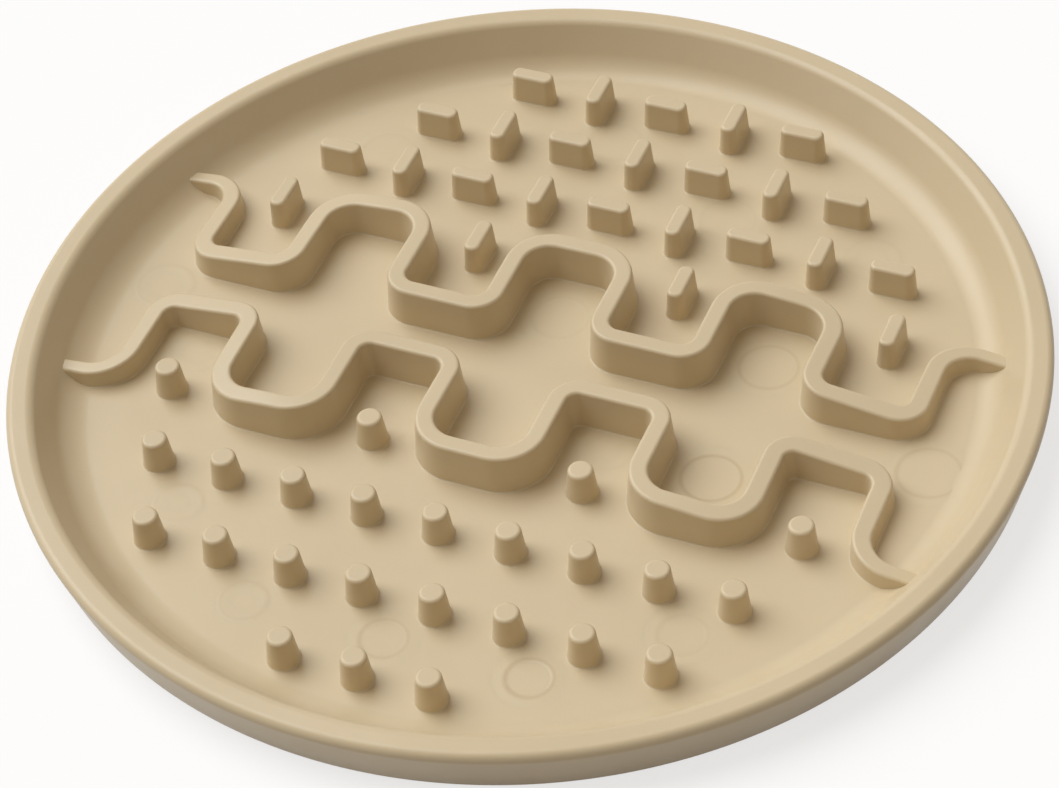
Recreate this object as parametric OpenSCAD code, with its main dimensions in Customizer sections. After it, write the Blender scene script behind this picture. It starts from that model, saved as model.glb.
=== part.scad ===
// Round lick mat: one soft moulding with a raised rim, two wave ridges,
// a field of small bars behind them and a field of round pegs in front.
// The origin is the middle of the flat underside. X runs along the rows and Y to the rear.

/* [Mat] */
// Diameter over the rim
mat_d = 200.6; // [196:0.2:230]
// Height of the rim's top above the underside
rim_h = 10.8; // [10.4:0.1:14]
// Thickness of the floor
floor_t = 1.9; // [1.4:0.1:2.2]

/* [Rim] */
// Width across the top of the rim
rim_w = 4.9; // [4.2:0.1:6]
// How far the outer wall draws in from top to underside
wall_draft = 2.7; // [0:0.1:3.5]
// How far the inner wall slopes in from the rim's top to the floor
slope_run = 5.8; // [3:0.1:7]
// Radius of the hollow where the inner wall meets the floor
slope_r = 7; // [3:0.5:8]
// Rounding of the rim's outer top edge
rim_outer_r = 1.5; // [0.4:0.1:1.8]
// Rounding of the rim's inner top edge
rim_inner_r = 2.2; // [0.4:0.1:2.6]
// Rounding of the rim's bottom edge
rim_foot_r = 0.8; // [0.3:0.1:1.4]

/* [Wave ridges] */
// Height of the ridges above the floor
ridge_h = 8.3; // [6.5:0.1:8.5]
// Width of a ridge across its top
ridge_w = 3.6; // [3:0.1:4.2]
// How far each side of a ridge spreads from top to floor
ridge_draft = 0.7; // [0.2:0.1:1]
// Length of one wave along the row
wave_pitch = 43.2; // [42:0.1:44]
// Distance between the two legs of a recess, middle to middle
recess_w = 20.8; // [19.6:0.1:21.6]
// Distance from the mat's middle line to the closed end of a recess
wave_near_y = 7.3; // [6.5:0.1:8.5]
// Distance from the mat's middle line to the outer lobes of a wave
wave_far_y = 28.6; // [27.5:0.1:29.5]
// Bend radius at the closed end of a recess, at the middle of the ridge
tight_r = 4.2; // [3.6:0.1:5.5]
// Bend radius at the outer lobes, at the middle of the ridge
broad_r = 7.2; // [5.5:0.1:8]
// Distance from the mat's middle at which the ridge tops begin to fall
ridge_fall_r = 48; // [46:1:66]
// How far a ridge top would have fallen at the rim's outer edge
ridge_fall = 6.5; // [3:0.1:7]

/* [Bars] */
// Length of a bar across its top
bar_len = 8.8; // [7:0.1:9.2]
// Width of a bar across its top
bar_w = 3.2; // [3.1:0.1:3.6]
// Radius of a bar's four upright corners at its top
bar_corner_r = 1.4; // [1.4:0.05:1.5]
// Height of the bars above the floor
bar_h = 6.4; // [4.5:0.1:7]
// How far each side of a bar spreads from top to floor
bar_draft = 0.5; // [0.2:0.1:0.9]
// Distance between neighbouring bars in a row
bar_pitch_x = 14.9; // [14.4:0.1:15.2]
// Distance between the rows of bars
bar_pitch_y = 16.1; // [15.6:0.1:16.4]
// Distance from the mat's middle line to the nearest full row of bars
bar_row_y = 43.2; // [42.8:0.1:43.8]
// Distance from the mat's middle line to the bars in the recesses
recess_bar_y = 27; // [25:0.1:27.4]

/* [Pegs] */
// Diameter of a peg across its top
peg_top_d = 4.8; // [3.6:0.1:5.2]
// Diameter of a peg where it meets the floor
peg_base_d = 6.2; // [5.6:0.1:6.6]
// Height of the pegs above the floor
peg_h = 6.5; // [4.5:0.1:7]
// Distance between neighbouring pegs in a row
peg_pitch_x = 14.6; // [14:0.1:15]
// Distance between the rows of pegs
peg_pitch_y = 18.1; // [17:0.1:18.3]
// Distance from the mat's middle line to the nearest full row of pegs
peg_row_y = 43.8; // [42:0.1:44]
// Distance from the mat's middle line to the pegs in the recesses
recess_peg_y = 25.7; // [23:0.1:27]

/* [Edges] */
// Rounding of the top edges of the ridges, bars and pegs
edge_r = 0.7; // [0.3:0.05:0.7]
// Hollow where the ridges, bars and pegs meet the floor
root_r = 0.3; // [0.2:0.05:0.5]

/* [Hidden] */
$fn = 48;
mat_colour = "#CDBD9C";
mat_r = mat_d / 2;
// Overrun that carries a cutting solid clear of what it cuts
over = 1;
// Share of its radius by which a side runs into a rounding, so that the two cross cleanly
bite = 0.002;
// Lap by which the lobes of neighbouring recesses run into each other, so that they join
lap = 0.002;
// Clear floor kept between the outermost bars and pegs and the hollow at the rim's foot
clear_floor = 0.5;

// Radius of the rim's inner top edge, before it is rounded
rim_inner_top = mat_r - rim_w;
// Angles of the rim's outer and inner walls from the upright
wall_a = atan(wall_draft / rim_h);
slope_a = atan(slope_run / (rim_h - floor_t));
// Radius of the floor panel, where the hollow of the inner wall runs out
floor_r = rim_inner_top - slope_run - slope_r * tan((90 - slope_a) / 2);
// Middle of the hollow at the foot of the inner wall, and where the wall's slope begins
hollow = [floor_r, floor_t + slope_r];
slope_foot = hollow + (1 - bite) * slope_r * [cos(slope_a), -sin(slope_a)];

// Where the ridges' ends meet the rim, and how many recesses each wave has room for.
// Each recess has one bar or one peg in its mouth.
end_x = sqrt(pow(rim_inner_top, 2) - pow(wave_far_y, 2));
recesses = 2 * round((end_x - recess_w / 2 - broad_r) / wave_pitch);

// Farthest that bars reach from the mat's middle, and how many full rows of them fit
bar_reach = floor_r - clear_floor;
bar_rows = floor((bar_reach - bar_len / 2 - bar_row_y) / bar_pitch_y) + 1;
// Farthest that the middles of pegs stand from the mat's middle, and how many rows fit
peg_reach = floor_r - clear_floor - peg_base_d / 2 - root_r;
peg_rows = floor((peg_reach - peg_row_y) / peg_pitch_y) + 1;

// Half the width of the mat that is within reach of its middle, at a distance y from it
function half_width(reach, y) = sqrt(max(0, pow(reach, 2) - pow(y, 2)));

// How many bars stand in a full row, with one in the middle and a lengthwise one at each end
function bars_in(row) =
    let (y = bar_row_y + row * bar_pitch_y + bar_w / 2)
    2 * floor((half_width(bar_reach, y) - bar_len / 2) / bar_pitch_x) + 1;

// How many pegs stand in a full row. Every second row has none in the middle.
function pegs_in(row) =
    let (half = half_width(peg_reach, peg_row_y + row * peg_pitch_y) / peg_pitch_x)
    row % 2 == 0 ? 2 * floor(half) + 1 : 2 * round(half);

// Places of n things set out evenly about the middle line
function spread(n, pitch) = [for (i = [0:1:n - 1]) (i - (n - 1) / 2) * pitch];

// Section of the rim from its flat underside to its top, right of the floor panel
module rim_section() {
    outer = [mat_r - rim_outer_r, rim_h - rim_outer_r];
    wall_top = outer + (1 - bite) * rim_outer_r * [cos(wall_a), -sin(wall_a)];
    foot_x = wall_top.x - (wall_top.y - rim_foot_r) * tan(wall_a) - rim_foot_r / cos(wall_a);
    foot = [foot_x, rim_foot_r];
    inner = [rim_inner_top - rim_inner_r * tan(slope_a) + rim_inner_r / cos(slope_a), rim_h - rim_inner_r];
    difference() {
        union() {
            polygon([
                [floor_r, 0],
                [foot.x, 0],
                foot + (1 - bite) * rim_foot_r * [cos(wall_a), -sin(wall_a)],
                wall_top,
                [outer.x, rim_h],
                [inner.x, rim_h],
                inner + (1 - bite) * rim_inner_r * [-cos(slope_a), sin(slope_a)],
                slope_foot,
                [floor_r, floor_t]
            ]);
            translate(outer) circle(r = rim_outer_r);
            translate(inner) circle(r = rim_inner_r);
            translate(foot) circle(r = rim_foot_r);
        }
        translate(hollow) circle(r = slope_r, $fn = 96);
    }
}

// Half section of a rib or peg standing on the floor: flat top, rounded edge,
// drafted side and hollow root. half_top is half its width across the top.
module half_section(half_top, draft, height) {
    a = atan(draft / height);
    edge = [half_top + edge_r * tan(a) - edge_r / cos(a), height - edge_r];
    root = [half_top + (height - root_r) * tan(a) + root_r / cos(a), root_r];
    difference() {
        union() {
            polygon([
                [0, 0],
                [root.x, 0],
                root - (1 - bite) * root_r * [cos(a), sin(a)],
                edge + (1 - bite) * edge_r * [cos(a), sin(a)],
                [edge.x, height],
                [0, height]
            ]);
            translate(edge) circle(r = edge_r);
        }
        translate(root) circle(r = root_r);
    }
}

// Straight stretch of wave ridge from the origin along X
module ridge_run(length) {
    rotate([90, 0, 90]) linear_extrude(height = length) {
        half_section(ridge_w / 2, ridge_draft, ridge_h);
        mirror([1, 0]) half_section(ridge_w / 2, ridge_draft, ridge_h);
    }
}

// Quarter bend of wave ridge about the origin, from the X axis round to the Y axis
module ridge_bend(radius) {
    rotate_extrude(angle = 90) translate([radius, 0]) {
        half_section(ridge_w / 2, ridge_draft, ridge_h);
        mirror([1, 0]) half_section(ridge_w / 2, ridge_draft, ridge_h);
    }
}

// Half of one recess: half its closed end, a tight bend, a leg, a broad bend and half a lobe
module half_recess(lobe_run) {
    leg_x = recess_w / 2;
    leg_near_y = wave_near_y + tight_r;
    leg_far_y = wave_far_y - broad_r;
    end_run = leg_x - tight_r;
    translate([0, wave_near_y, 0]) ridge_run(end_run);
    translate([end_run, leg_near_y, 0]) rotate([0, 0, -90]) ridge_bend(tight_r);
    translate([leg_x, leg_near_y, 0]) rotate([0, 0, 90]) ridge_run(leg_far_y - leg_near_y);
    translate([leg_x + broad_r, leg_far_y, 0]) rotate([0, 0, 90]) ridge_bend(broad_r);
    translate([leg_x + broad_r, wave_far_y, 0]) ridge_run(lobe_run);
}

// Space that the ridges may fill. It ends on the rim's inner wall and on the hollow at its
// foot, and its top falls towards the rim.
module ridge_space() {
    fall_rate = ridge_fall / (mat_r - ridge_fall_r);
    ridge_top = floor_t + ridge_h;
    slope_end = slope_foot + rim_h * [tan(slope_a), 1];
    rotate_extrude($fn = 180) intersection() {
        union() {
            polygon([[0, floor_t], [floor_r, floor_t], slope_foot, slope_end, [0, slope_end.y]]);
            translate(hollow) circle(r = slope_r, $fn = 96);
        }
        polygon([
            [0, floor_t],
            [mat_r, floor_t],
            [mat_r, ridge_top - ridge_fall],
            [ridge_fall_r - over / fall_rate, ridge_top + over],
            [0, ridge_top + over]
        ]);
    }
}

// One whole wave on the floor, the closed ends of its recesses towards the middle line.
// Its tops fall towards the rim, and its two ends die into the rim's inner wall.
module wave_ridge() {
    half_lobe = wave_pitch / 2 - recess_w / 2 - broad_r + lap;
    places = spread(recesses, wave_pitch);
    last = recesses - 1;
    end_run = end_x - places[last] - recess_w / 2 - broad_r;
    for (half = [0, 1]) mirror([half, 0, 0])
        for (i = [recesses / 2:last]) intersection() {
            translate([places[i], 0, floor_t]) for (side = [0, 1])
                mirror([side, 0, 0]) half_recess(side == 0 && i == last ? end_run : half_lobe);
            ridge_space();
        }
}

// One drafted side of a bar, centred on the origin with its length along X and facing Y
module half_rib(length) {
    rotate([90, 0, 90]) linear_extrude(height = length, center = true)
        half_section(bar_corner_r, bar_draft, bar_h);
}

// Rounded upright corner of a bar, from the X axis round to the Y axis
module bar_corner() {
    rotate_extrude(angle = 90) half_section(bar_corner_r, bar_draft, bar_h);
}

// Block with drafted sides and rounded upright corners, its length along X
module bar() {
    corner_x = bar_len / 2 - bar_corner_r;
    corner_y = bar_w / 2 - bar_corner_r;
    translate([-corner_x, -corner_y, 0]) cube([2 * corner_x, 2 * corner_y, bar_h]);
    for (turn = [0, 180]) rotate([0, 0, turn]) {
        translate([0, corner_y, 0]) half_rib(2 * corner_x);
        translate([corner_x, 0, 0]) rotate([0, 0, -90]) half_rib(2 * corner_y);
        translate([corner_x, corner_y, 0]) bar_corner();
        translate([corner_x, -corner_y, 0]) rotate([0, 0, -90]) bar_corner();
    }
}

// One tapered round peg
module peg() {
    rotate_extrude($fn = 32)
        half_section(peg_top_d / 2, (peg_base_d - peg_top_d) / 2, peg_h);
}

// Bars of the full rows that lie one way: every second place, alternating from row to row
module field_bars(turned) {
    for (row = [0:1:bar_rows - 1]) {
        places = spread(bars_in(row), bar_pitch_x);
        for (i = [turned:2:len(places) - 1])
            translate([places[i], bar_row_y + row * bar_pitch_y, floor_t])
                rotate([0, 0, 90 * turned]) bar();
    }
}

// Rim as one ring, with the flat underside that it shares with the floor
module rim_ring() {
    rotate_extrude($fn = 180) rim_section();
}

module floor_panel() {
    color(mat_colour) cylinder(h = floor_t, r = floor_r, $fn = 180);
}

module rim_wall() {
    color(mat_colour) rim_ring();
}

module rear_wave_ridge() {
    color(mat_colour) wave_ridge();
}

module front_wave_ridge() {
    color(mat_colour) mirror([0, 1, 0]) wave_ridge();
}

module lengthwise_bars() {
    color(mat_colour) field_bars(0);
}

module crosswise_bars() {
    color(mat_colour) field_bars(1);
}

module recess_bars() {
    color(mat_colour) for (x = spread(recesses, wave_pitch))
        translate([x, recess_bar_y, floor_t]) rotate([0, 0, 90]) bar();
}

module field_pegs() {
    color(mat_colour) for (row = [0:1:peg_rows - 1])
        for (x = spread(pegs_in(row), peg_pitch_x))
            translate([x, -peg_row_y - row * peg_pitch_y, floor_t]) peg();
}

module recess_pegs() {
    color(mat_colour) for (x = spread(recesses, wave_pitch))
        translate([x, -recess_peg_y, floor_t]) peg();
}

floor_panel();
rim_wall();
rear_wave_ridge();
front_wave_ridge();
lengthwise_bars();
crosswise_bars();
recess_bars();
field_pegs();
recess_pegs();
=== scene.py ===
"""Looks of the round lick mat: fine moulded surfaces, marks of its mould, floor, light, camera."""

import math

import bpy
from mathutils import Matrix, Vector

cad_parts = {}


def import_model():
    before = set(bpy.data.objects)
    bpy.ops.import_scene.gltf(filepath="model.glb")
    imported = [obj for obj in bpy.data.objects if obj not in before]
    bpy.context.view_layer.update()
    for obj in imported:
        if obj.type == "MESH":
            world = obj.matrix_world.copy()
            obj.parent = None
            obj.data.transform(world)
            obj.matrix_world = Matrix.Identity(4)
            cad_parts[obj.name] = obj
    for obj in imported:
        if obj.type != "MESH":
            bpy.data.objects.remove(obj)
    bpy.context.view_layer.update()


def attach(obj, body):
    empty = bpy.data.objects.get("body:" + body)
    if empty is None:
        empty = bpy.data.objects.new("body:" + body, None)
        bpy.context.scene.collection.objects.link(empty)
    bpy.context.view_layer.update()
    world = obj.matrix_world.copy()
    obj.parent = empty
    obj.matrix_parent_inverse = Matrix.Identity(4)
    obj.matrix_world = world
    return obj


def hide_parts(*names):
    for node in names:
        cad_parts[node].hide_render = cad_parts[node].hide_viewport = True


MM = 0.001

# Camera of the photograph, in the part's frame
CAMERA_PLACE = (0.2016125, -0.3923155, 0.4502325)
CAMERA_TURN = (
    (0.9208095, -0.2245944, 0.3188529),
    (0.3818020, 0.6859677, -0.6194155),
    (-0.0796055, 0.6921024, 0.7173962),
)
CAMERA_LENS = 110.4428
SENSOR_WIDTH = 36.0

# Sizes of the moulding in millimetres, as the solids have them
MAT_R = 100.3
RIM_H = 10.8
FLOOR_T = 1.9
RIM_W = 4.9
WALL_DRAFT = 2.7
SLOPE_RUN = 5.8
SLOPE_R = 7.0
RIM_OUTER_R = 1.5
RIM_INNER_R = 2.2
RIM_FOOT_R = 0.8
RIDGE_H = 8.3
RIDGE_W = 3.6
RIDGE_DRAFT = 0.7
WAVE_PITCH = 43.2
RECESS_W = 20.8
WAVE_NEAR_Y = 7.3
WAVE_FAR_Y = 28.6
TIGHT_R = 4.2
BROAD_R = 7.2
RIDGE_FALL_R = 48.0
RIDGE_FALL = 6.5
BAR_LEN = 8.8
BAR_W = 3.2
BAR_CORNER_R = 1.4
BAR_H = 6.4
BAR_DRAFT = 0.5
BAR_PITCH_X = 14.9
BAR_PITCH_Y = 16.1
BAR_ROW_Y = 43.2
RECESS_BAR_Y = 27.0
PEG_TOP_D = 4.8
PEG_BASE_D = 6.2
PEG_H = 6.5
PEG_PITCH_X = 14.6
PEG_PITCH_Y = 18.1
PEG_ROW_Y = 43.8
RECESS_PEG_Y = 25.7
EDGE_R = 0.7
ROOT_R = 0.3
ROW_BARS = (9, 7, 5)
ROW_PEGS = (9, 8, 3)
RECESSES = 4

SLOPE_A = math.atan(SLOPE_RUN / (RIM_H - FLOOR_T))
FLOOR_R = MAT_R - RIM_W - SLOPE_RUN - SLOPE_R * math.tan((math.pi / 2 - SLOPE_A) / 2)

# Only in the looks: the distance over which a ridge's top eases into its fall, how far from the
# mat's middle its end lies, hidden in the rim, and from where it narrows to a smaller half width
FALL_EASE = 2.5
END_R = 94.0
TAPER_R = 68.0
TIP_HALF = 1.0

# Witness marks of the mould's pins on the mat's floor: x, y, radius and height of each edge,
# whether its disc is sunk (the other discs are raised), and how strong its darker line is,
# painted shade of a fine groove along the edge with some dirt in it
MOULD_MARKS = (
    (29.1, -70.0, 4.45, 0.05, True, 0.50),
    (0.6, -70.1, 4.5, 0.03, True, 0.34),
    (-27.6, -70.2, 4.4, 0.02, False, 0.15),
    (-50.0, -52.4, 4.5, 0.02, False, 0.10),
    (51.3, -52.0, 4.65, 0.02, True, 0.15),
    (81.0, -0.9, 6.1, 0.03, True, 0.36),
    (-79.4, 0.0, 5.6, 0.02, False, 0.12),
    (43.1, -14.8, 5.7, 0.03, True, 0.60),
    (21.4, -13.8, 5.6, 0.02, False, 0.10),
    (-64.5, -14.9, 5.4, 0.02, False, 0.10),
    (0.1, 15.9, 5.6, 0.02, True, 0.12),
    (43.6, 15.7, 5.7, 0.03, True, 0.38),
    (53.1, 50.1, 5.6, 0.02, False, 0.08),
    (21.8, 52.2, 5.6, 0.02, True, 0.08),
    (-8.4, 67.2, 5.6, 0.02, True, 0.08),
    (-52.7, 50.1, 5.6, 0.02, True, 0.10),
)
# Widths of a mark's steeper and flatter side, and how deep its underside lies in the mat's floor
MARK_EDGE = 0.8
MARK_FADE = 2.4
MARK_SINK = 0.3
# Attribute that holds a mark's darker line, painted shade of a fine groove with some dirt in it,
# and half the line's width
MARK_SHADE = "mark_shade"
MARK_SHADE_HALF = 0.7

# How finely the surfaces are divided: steps round a circle, along a path and round an edge
RIM_STEPS = 360
PEG_STEPS = 40
MARK_STEPS = 72
MARK_SIDE_STEPS = 8
RUN_STEP = 0.9
TURN_STEPS = 14
CORNER_STEPS = 9
EDGE_STEPS = 7
ROOT_STEPS = 4
RIM_FOOT_STEPS = 8
RIM_OUTER_STEPS = 16
RIM_INNER_STEPS = 14
SLOPE_STEPS = 18
FLOOR_BORDER = 1.0

# Drift of the rubber's colour and of its roughness
RUBBER_COLOURS = ((0.3, (0.600, 0.492, 0.320)), (0.7, (0.640, 0.528, 0.350)))
RUBBER_ROUGHNESS = ((0.25, (0.29, 0.29, 0.29)), (0.75, (0.41, 0.41, 0.41)))

# Studio floor: its half size in metres, its colour where it lights the mat and where it is seen,
# and how far it is lifted towards white where it is seen
FLOOR_HALF = 4.0
FLOOR_BOUNCE = 0.5
FLOOR_SEEN = 0.98
FLOOR_LIFT = 0.7

# Light of the pale surroundings, and the key light: its angles in degrees, strength and colour
SKY_LIGHT = (0.325, 0.275, 0.22)
KEY_AZIMUTH = 168.0
KEY_ELEVATION = 52.0
KEY_SPREAD = 52.0
KEY_LIGHT = 2.7
KEY_COLOUR = (0.93, 0.965, 1.0)


def new_material(name):
    """An empty node material, its node tree and its output node."""
    material = bpy.data.materials.new(name)
    material.use_nodes = True
    tree = material.node_tree
    tree.nodes.clear()
    output = tree.nodes.new("ShaderNodeOutputMaterial")
    return material, tree, output


def set_inputs(node, values):
    for socket, value in values.items():
        node.inputs[socket].default_value = value


def noise(tree, coordinates, scale, detail, roughness=0.5):
    node = tree.nodes.new("ShaderNodeTexNoise")
    set_inputs(node, {"Scale": scale, "Detail": detail, "Roughness": roughness})
    tree.links.new(coordinates.outputs["Object"], node.inputs["Vector"])
    return node.outputs["Fac"]


def ramp(tree, value, stops):
    """Colour by a value, from two stops of place and colour."""
    node = tree.nodes.new("ShaderNodeValToRGB")
    for element, (place, colour) in zip(node.color_ramp.elements, stops):
        element.position = place
        element.color = (*colour, 1.0)
    tree.links.new(value, node.inputs["Fac"])
    return node.outputs["Color"]


def bump(tree, height, strength, distance, under=None):
    """Normal of a bump, which lies over the normal of another one where that is given."""
    node = tree.nodes.new("ShaderNodeBump")
    set_inputs(node, {"Strength": strength, "Distance": distance})
    tree.links.new(height, node.inputs["Height"])
    if under:
        tree.links.new(under, node.inputs["Normal"])
    return node.outputs["Normal"]


def moulded_rubber():
    """Matte beige rubber: a faint drift of colour and gloss, a fine skin, and painted shade at
    marks.
    """
    material, tree, output = new_material("moulded_rubber")
    links = tree.links
    coordinates = tree.nodes.new("ShaderNodeTexCoord")
    shader = tree.nodes.new("ShaderNodeBsdfPrincipled")
    set_inputs(shader, {
        "Subsurface Weight": 0.1,
        "Subsurface Radius": (1.0, 0.62, 0.34),
        "Subsurface Scale": 0.0015,
        "IOR": 1.41,
        "Specular IOR Level": 0.5,
    })

    drift = noise(tree, coordinates, scale=18.0, detail=3.0)
    # Painted shade: where the marks' attribute is set, the colour turns darker and warmer
    line = tree.nodes.new("ShaderNodeAttribute")
    line.attribute_name = MARK_SHADE
    shade = tree.nodes.new("ShaderNodeHueSaturation")
    set_inputs(shade, {"Hue": 0.49, "Saturation": 1.2, "Value": 0.8})
    links.new(line.outputs["Fac"], shade.inputs["Fac"])
    links.new(ramp(tree, drift, RUBBER_COLOURS), shade.inputs["Color"])
    links.new(shade.outputs["Color"], shader.inputs["Base Color"])

    gloss = noise(tree, coordinates, scale=65.0, detail=4.0)
    links.new(ramp(tree, gloss, RUBBER_ROUGHNESS), shader.inputs["Roughness"])

    grain = noise(tree, coordinates, scale=1700.0, detail=3.0, roughness=0.6)
    skin = bump(tree, grain, strength=0.16, distance=0.00006)
    swell = noise(tree, coordinates, scale=55.0, detail=2.0)
    sway = bump(tree, swell, strength=0.22, distance=0.0006, under=skin)
    links.new(sway, shader.inputs["Normal"])
    links.new(shader.outputs["BSDF"], output.inputs["Surface"])
    return material


def seen_rays(tree):
    """1 for rays that see or mirror the surroundings, 0 for those that only gather light."""
    path = tree.nodes.new("ShaderNodeLightPath")
    seen = path.outputs["Is Camera Ray"]
    for kind in ("Is Glossy Ray", "Is Transmission Ray"):
        both = tree.nodes.new("ShaderNodeMath")
        both.operation = "MAXIMUM"
        tree.links.new(seen, both.inputs[0])
        tree.links.new(path.outputs[kind], both.inputs[1])
        seen = both.outputs["Value"]
    return seen


def studio_floor():
    """Plain pale floor that keeps the mat's shadow. It is white where it is seen."""
    material, tree, output = new_material("studio_floor")
    links = tree.links
    seen = seen_rays(tree)
    shader = tree.nodes.new("ShaderNodeBsdfPrincipled")
    set_inputs(shader, {"Roughness": 0.9, "Specular IOR Level": 0.1})
    stops = ((0.0, (FLOOR_BOUNCE,) * 3), (1.0, (FLOOR_SEEN,) * 3))
    links.new(ramp(tree, seen, stops), shader.inputs["Base Color"])
    white = tree.nodes.new("ShaderNodeEmission")
    share = tree.nodes.new("ShaderNodeMath")
    share.operation = "MULTIPLY"
    share.inputs[1].default_value = FLOOR_LIFT
    links.new(seen, share.inputs[0])
    mixed = tree.nodes.new("ShaderNodeMixShader")
    links.new(share.outputs["Value"], mixed.inputs["Fac"])
    links.new(shader.outputs["BSDF"], mixed.inputs[1])
    links.new(white.outputs["Emission"], mixed.inputs[2])
    links.new(mixed.outputs["Shader"], output.inputs["Surface"])
    return material


def mesh_object(name, points, faces, material, smooth=True):
    mesh = bpy.data.meshes.new(name)
    mesh.from_pydata(points, [], faces)
    mesh.materials.append(material)
    for polygon in mesh.polygons:
        polygon.use_smooth = smooth
    mesh.update()
    thing = bpy.data.objects.new(name, mesh)
    bpy.context.scene.collection.objects.link(thing)
    return thing


def moulding(name, parts, material, *nodes):
    """One smooth piece from parts, each a list of points in millimetres, their normals and faces.

    It rides with the mat and stands for the given nodes.
    """
    points, normals, faces = [], [], []
    for part_points, part_normals, part_faces in parts:
        first = len(points)
        points += [tuple(value * MM for value in point) for point in part_points]
        normals += part_normals
        faces += [tuple(first + corner for corner in face) for face in part_faces]
    thing = mesh_object(name, points, faces, material)
    thing.data.normals_split_custom_set_from_vertices(normals)
    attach(thing, "root")
    if nodes:
        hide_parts(*nodes)
    return thing


def ease(share):
    """0 to 1, level at both ends."""
    return share * share * (3 - 2 * share)


def spread(count, pitch):
    """Places of a row of things about its middle."""
    return [(i - (count - 1) / 2) * pitch for i in range(count)]


def arc(middle, radius, start, end, steps, side=1):
    """Points and normals of a round in a section, by angle. Side is -1 where it is hollow."""
    found = []
    for i in range(steps + 1):
        turn = start + (end - start) * i / steps
        across, up = math.cos(turn), math.sin(turn)
        place = (middle[0] + radius * across, middle[1] + radius * up)
        found.append((*place, side * across, side * up))
    return found


def strips(rows, count, looped, ring):
    """Faces between rows of count points each.

    Looped joins the last row to the first one, and ring the last point of a row to its first.
    """
    faces = []
    for i in range(rows if looped else rows - 1):
        here, there = i * count, (i + 1) % rows * count
        for j in range(count if ring else count - 1):
            k = (j + 1) % count
            faces.append((here + j, there + j, there + k, here + k))
    return faces


def carried(section, stations, capped=True):
    """The section carried round a closed line of stations: x, y and heading of each.

    Where it is capped, flat faces close it below the section's first point and over its last.
    Otherwise the section is a closed ring.
    """
    points, normals = [], []
    for x, y, turn in stations:
        across, along = math.cos(turn), math.sin(turn)
        for u, z, nu, nz in section:
            points.append((x + u * across, y + u * along, z))
            normals.append((nu * across, nu * along, nz))
    count, rows = len(section), len(stations)
    faces = strips(rows, count, looped=True, ring=not capped)
    if capped:
        faces.append(tuple(i * count for i in reversed(range(rows))))
        faces.append(tuple(i * count + count - 1 for i in range(rows)))
    return points, normals, faces


def turned(section, steps, capped=True):
    """The section carried round the upright axis."""
    return carried(section, [(0.0, 0.0, 2 * math.pi * i / steps) for i in range(steps)], capped)


def moved(part, x, y, quarter_turn=False):
    """The part set on the mat's floor at a place."""
    points, normals, faces = part
    if quarter_turn:
        points = [(-py, px, pz) for px, py, pz in points]
        normals = [(-ny, nx, nz) for nx, ny, nz in normals]
    return [(px + x, py + y, pz + FLOOR_T) for px, py, pz in points], normals, faces


def rim_section():
    """Outline of the rim from its inner corner on the underside, round its top, to the floor."""
    wall_a = math.atan(WALL_DRAFT / RIM_H)
    outer = (MAT_R - RIM_OUTER_R, RIM_H - RIM_OUTER_R)
    wall_top = (
        outer[0] + RIM_OUTER_R * math.cos(wall_a),
        outer[1] - RIM_OUTER_R * math.sin(wall_a),
    )
    foot = (
        wall_top[0] - (wall_top[1] - RIM_FOOT_R) * math.tan(wall_a) - RIM_FOOT_R / math.cos(wall_a),
        RIM_FOOT_R,
    )
    inner = (
        MAT_R - RIM_W - RIM_INNER_R * math.tan(SLOPE_A) + RIM_INNER_R / math.cos(SLOPE_A),
        RIM_H - RIM_INNER_R,
    )
    hollow = (FLOOR_R, FLOOR_T + SLOPE_R)
    quarter = math.pi / 2
    return (
        [(FLOOR_R, 0.0, 0.0, -1.0)]
        + arc(foot, RIM_FOOT_R, -quarter, -wall_a, RIM_FOOT_STEPS)
        + arc(outer, RIM_OUTER_R, -wall_a, quarter, RIM_OUTER_STEPS)
        + arc(inner, RIM_INNER_R, quarter, math.pi - SLOPE_A, RIM_INNER_STEPS)
        + arc(hollow, SLOPE_R, -SLOPE_A, -quarter, SLOPE_STEPS, -1)
    )


def rim_part():
    return turned(rim_section(), RIM_STEPS, capped=False)


def floor_part():
    section = [
        (FLOOR_R, 0.0, 0.0, -1.0),
        (FLOOR_R, FLOOR_T, 0.0, 1.0),
        (FLOOR_R - FLOOR_BORDER, FLOOR_T, 0.0, 1.0),
    ]
    return turned(section, RIM_STEPS)


def raised_section(half_top, draft, height, full_height=None):
    """Half section of what stands on the floor, from its foot to the middle of its top.

    A lower height cuts the section of full_height down and rounds its top again.
    """
    full_height = full_height or height
    lean = math.atan(draft / full_height)
    half_top += (full_height - height) * math.tan(lean)
    edge = (half_top + EDGE_R * math.tan(lean) - EDGE_R / math.cos(lean), height - EDGE_R)
    root = (half_top + (height - ROOT_R) * math.tan(lean) + ROOT_R / math.cos(lean), ROOT_R)
    return (
        arc(root, ROOT_R, -math.pi / 2, -math.pi + lean, ROOT_STEPS, -1)
        + arc(edge, EDGE_R, lean, math.pi / 2, EDGE_STEPS)
    )


def peg_part():
    section = raised_section(PEG_TOP_D / 2, (PEG_BASE_D - PEG_TOP_D) / 2, PEG_H)
    return turned(section, PEG_STEPS)


def bar_part():
    """Block with drafted sides: its section carried round the four upright corners."""
    section = raised_section(BAR_CORNER_R, BAR_DRAFT, BAR_H)
    x, y = BAR_LEN / 2 - BAR_CORNER_R, BAR_W / 2 - BAR_CORNER_R
    corners = ((x, y), (-x, y), (-x, -y), (x, -y))
    stations = [
        (*place, math.pi / 2 * (corner + i / CORNER_STEPS))
        for corner, place in enumerate(corners)
        for i in range(CORNER_STEPS + 1)
    ]
    return carried(section, stations)


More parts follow.
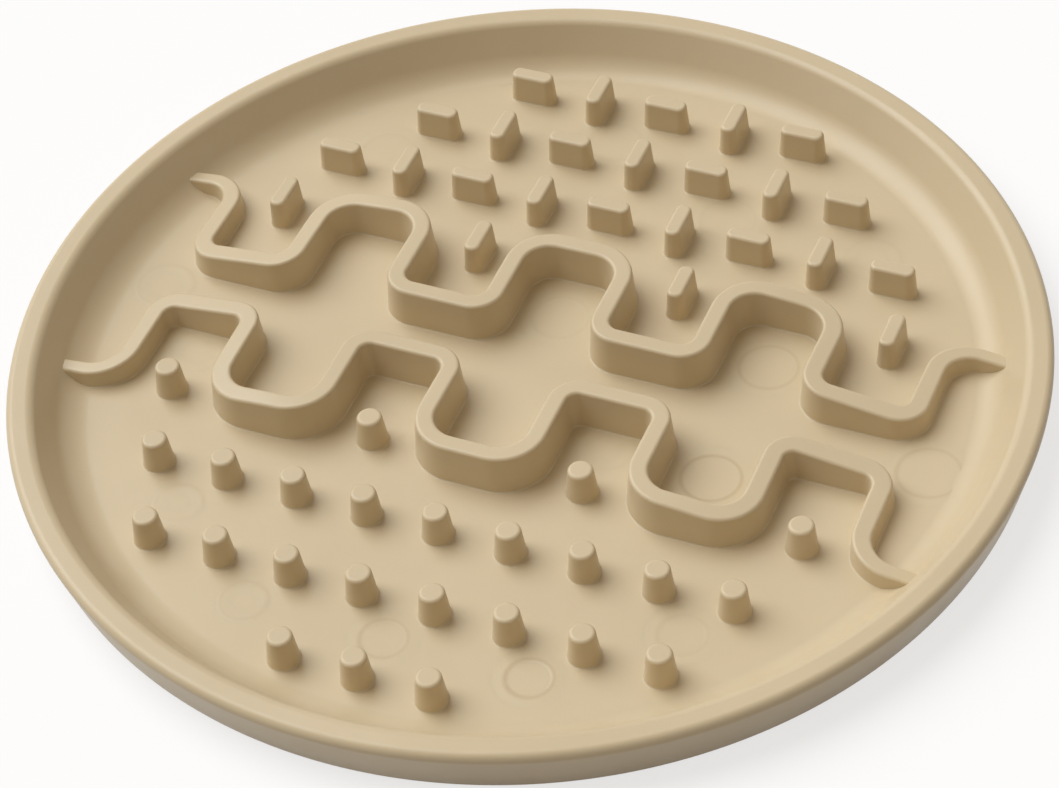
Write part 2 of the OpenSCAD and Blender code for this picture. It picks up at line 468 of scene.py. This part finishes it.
def wave_path():
    """Middle line of a wave from its middle lobe to the rim: places and headings."""
    lobe = (WAVE_PITCH - RECESS_W) / 2 - BROAD_R
    leg = WAVE_FAR_Y - BROAD_R - WAVE_NEAR_Y - TIGHT_R
    closed_end = RECESS_W - 2 * TIGHT_R
    end_x = math.sqrt(END_R ** 2 - WAVE_FAR_Y ** 2)
    last_x = spread(RECESSES, WAVE_PITCH)[-1] + RECESS_W / 2 + BROAD_R
    recess = [
        ("turn", BROAD_R, -1), ("run", leg), ("turn", TIGHT_R, 1), ("run", closed_end),
        ("turn", TIGHT_R, 1), ("run", leg), ("turn", BROAD_R, -1),
    ]
    moves = [("run", lobe)] + recess + [("run", 2 * lobe)] + recess + [("run", end_x - last_x)]
    x, y, heading = 0.0, WAVE_FAR_Y, 0.0
    path = [(x, y, heading)]
    for move in moves:
        if move[0] == "run":
            steps = max(2, round(move[1] / RUN_STEP))
            for _ in range(steps):
                x += move[1] / steps * math.cos(heading)
                y += move[1] / steps * math.sin(heading)
                path.append((x, y, heading))
        else:
            _, radius, side = move
            middle_x = x - side * radius * math.sin(heading)
            middle_y = y + side * radius * math.cos(heading)
            for _ in range(TURN_STEPS):
                heading += side * math.pi / 2 / TURN_STEPS
                x = middle_x + side * radius * math.sin(heading)
                y = middle_y - side * radius * math.cos(heading)
                path.append((x, y, heading))
    return path


def ridge_fall(reach):
    """How far a ridge's top has fallen at a distance from the mat's middle."""
    rate = RIDGE_FALL / (MAT_R - RIDGE_FALL_R)
    return rate * FALL_EASE * math.log1p(math.exp((reach - RIDGE_FALL_R) / FALL_EASE))


def ridge_half_width(reach):
    """Half the width of a ridge's full-height top, which narrows towards the rim."""
    share = min(1.0, max(0.0, (reach - TAPER_R) / (END_R - TAPER_R)))
    return RIDGE_W / 2 - (RIDGE_W / 2 - TIP_HALF) * ease(share)


def ridge_row(x, y, heading):
    """Points of a ridge's whole section at a place of its path."""
    aside_x, aside_y = -math.sin(heading), math.cos(heading)
    reach = math.hypot(x, y)
    middle_fall = ridge_fall(reach)
    height = RIDGE_H - middle_fall
    half_section = raised_section(ridge_half_width(reach), RIDGE_DRAFT, height, RIDGE_H)
    side = [point[:2] for point in half_section]
    flat = side[-1][0]
    side += [(flat * 2 / 3, height), (flat / 3, height)]
    row = []
    for u, z in side + [(0.0, height)] + [(-u, z) for u, z in reversed(side)]:
        px, py = x + aside_x * u, y + aside_y * u
        tilt = (ridge_fall(math.hypot(px, py)) - middle_fall) * z / height
        row.append(Vector((px, py, FLOOR_T + z - tilt)))
    return row


def wave_part(front):
    """A whole wave ridge: its section carried along its path, its top falling towards the rim."""
    half = wave_path()
    path = [(-x, y, -heading) for x, y, heading in reversed(half[1:])] + half
    rows = [ridge_row(*station) for station in path]
    count = len(rows[0])
    points, normals = [], []
    for i, row in enumerate(rows):
        before, after = rows[max(i - 1, 0)], rows[min(i + 1, len(rows) - 1)]
        for j, point in enumerate(row):
            along = after[j] - before[j]
            across = row[min(j + 1, count - 1)] - row[max(j - 1, 0)]
            points.append(tuple(point))
            normals.append(tuple(along.cross(across).normalized()))
    faces = strips(len(rows), count, looped=False, ring=True)
    faces.append(tuple(range(count)))
    faces.append(tuple(reversed(range((len(rows) - 1) * count, len(rows) * count))))
    if front:
        points = [(x, -y, z) for x, y, z in points]
        normals = [(x, -y, z) for x, y, z in normals]
        faces = [tuple(reversed(face)) for face in faces]
    return points, normals, faces


def field_bars(bar, crosswise):
    """Bars of the full rows that lie one way: every second place, alternating along a row."""
    return [
        moved(bar, x, BAR_ROW_Y + row * BAR_PITCH_Y, quarter_turn=bool(crosswise))
        for row, count in enumerate(ROW_BARS)
        for x in spread(count, BAR_PITCH_X)[crosswise::2]
    ]


def mouldings(rubber):
    moulding("mat_floor", [floor_part()], rubber, "floor_panel")
    moulding("mat_rim", [rim_part()], rubber, "rim_wall")
    moulding("wave_ridge_rear", [wave_part(False)], rubber, "rear_wave_ridge")
    moulding("wave_ridge_front", [wave_part(True)], rubber, "front_wave_ridge")
    bar, peg = bar_part(), peg_part()
    recess_x = spread(RECESSES, WAVE_PITCH)
    moulding("bars_lengthwise", field_bars(bar, 0), rubber, "lengthwise_bars")
    moulding("bars_crosswise", field_bars(bar, 1), rubber, "crosswise_bars")
    moulding(
        "bars_in_recesses",
        [moved(bar, x, RECESS_BAR_Y, quarter_turn=True) for x in recess_x],
        rubber, "recess_bars",
    )
    moulding(
        "pegs_in_rows",
        [
            moved(peg, x, -PEG_ROW_Y - row * PEG_PITCH_Y)
            for row, count in enumerate(ROW_PEGS)
            for x in spread(count, PEG_PITCH_X)
        ],
        rubber, "field_pegs",
    )
    moulding(
        "pegs_in_recesses",
        [moved(peg, x, -RECESS_PEG_Y) for x in recess_x],
        rubber, "recess_pegs",
    )


def mark_part(x, y, radius, height, sunk, shade_share):
    """Round edge that a pin of the mould leaves, and its painted shade at each point.

    It falls quickly inside where the pin's disc is sunk, and outside where it is raised, and fades
    into the floor on the other side. Its underside lies in the mat's floor.
    """
    section, painted_shade = [], []
    inner, outer = (MARK_EDGE, MARK_FADE) if sunk else (MARK_FADE, MARK_EDGE)
    for width, side in ((outer, 1), (inner, -1)):
        for j in range(MARK_SIDE_STEPS + 1):
            share = j / MARK_SIDE_STEPS if side < 0 else 1 - j / MARK_SIDE_STEPS
            lift = height * (1 - ease(share))
            steep = side * height * 6 * share * (1 - share) / width
            length = math.hypot(steep, 1.0)
            section.append((radius + side * share * width, lift, steep / length, 1.0 / length))
            # Painted shade of a fine groove, with some dirt, strongest on the edge's crest and
            # fading over the line's half width
            aside = min(1.0, share * width / MARK_SHADE_HALF)
            painted_shade.append(shade_share * (1 - aside * aside) ** 2)
    section.insert(0, (radius + outer, -MARK_SINK, 1.0, 0.0))
    section.append((radius - inner, -MARK_SINK, -1.0, 0.0))
    part = turned(section, MARK_STEPS, capped=False)
    return moved(part, x, y), ([0.0] + painted_shade + [0.0]) * MARK_STEPS


def mould_marks(rubber):
    """The mould's marks as one piece, with their painted shade as an attribute."""
    marks = [mark_part(*mark) for mark in MOULD_MARKS]
    thing = moulding("mould_marks", [part for part, _ in marks], rubber)
    line = thing.data.attributes.new(MARK_SHADE, "FLOAT", "POINT")
    line.data.foreach_set("value", [value for _, painted_shade in marks for value in painted_shade])


def key_light():
    """A far, broad light. Its azimuth is counted from +X towards +Y."""
    lamp = bpy.data.lights.new("key", "SUN")
    lamp.angle = math.radians(KEY_SPREAD)
    lamp.energy = KEY_LIGHT
    lamp.color = KEY_COLOUR
    turn, lift = math.radians(KEY_AZIMUTH), math.radians(KEY_ELEVATION)
    level = math.cos(lift)
    towards = Vector((math.cos(turn) * level, math.sin(turn) * level, math.sin(lift)))
    thing = bpy.data.objects.new("key", lamp)
    thing.location = towards
    thing.rotation_euler = (-towards).to_track_quat("-Z", "Y").to_euler()
    bpy.context.scene.collection.objects.link(thing)


def photo_camera():
    lens = bpy.data.cameras.new("photo_camera")
    lens.sensor_fit = "HORIZONTAL"
    lens.sensor_width = SENSOR_WIDTH
    lens.lens = CAMERA_LENS
    lens.clip_start = 0.01
    lens.clip_end = 20.0
    thing = bpy.data.objects.new("photo_camera", lens)
    thing.matrix_world = Matrix.Translation(CAMERA_PLACE) @ Matrix(CAMERA_TURN).to_4x4()
    bpy.context.scene.collection.objects.link(thing)
    bpy.context.scene.camera = thing


def studio():
    corners = ((-1, -1), (1, -1), (1, 1), (-1, 1))
    floor = mesh_object(
        "studio_floor",
        [(x * FLOOR_HALF, y * FLOOR_HALF, 0.0) for x, y in corners],
        [(0, 1, 2, 3)],
        studio_floor(),
        smooth=False,
    )
    world = bpy.data.worlds.new("studio")
    bpy.context.scene.world = world
    world.use_nodes = True
    tree = world.node_tree
    tree.links.new(
        ramp(tree, seen_rays(tree), ((0.0, SKY_LIGHT), (1.0, (1.0, 1.0, 1.0)))),
        tree.nodes["Background"].inputs["Color"],
    )
    key_light()
    bpy.context.scene.view_settings.view_transform = "Standard"


def main():
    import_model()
    photo_camera()
    studio()
    rubber = moulded_rubber()
    mouldings(rubber)
    mould_marks(rubber)
    bpy.context.view_layer.update()


main()
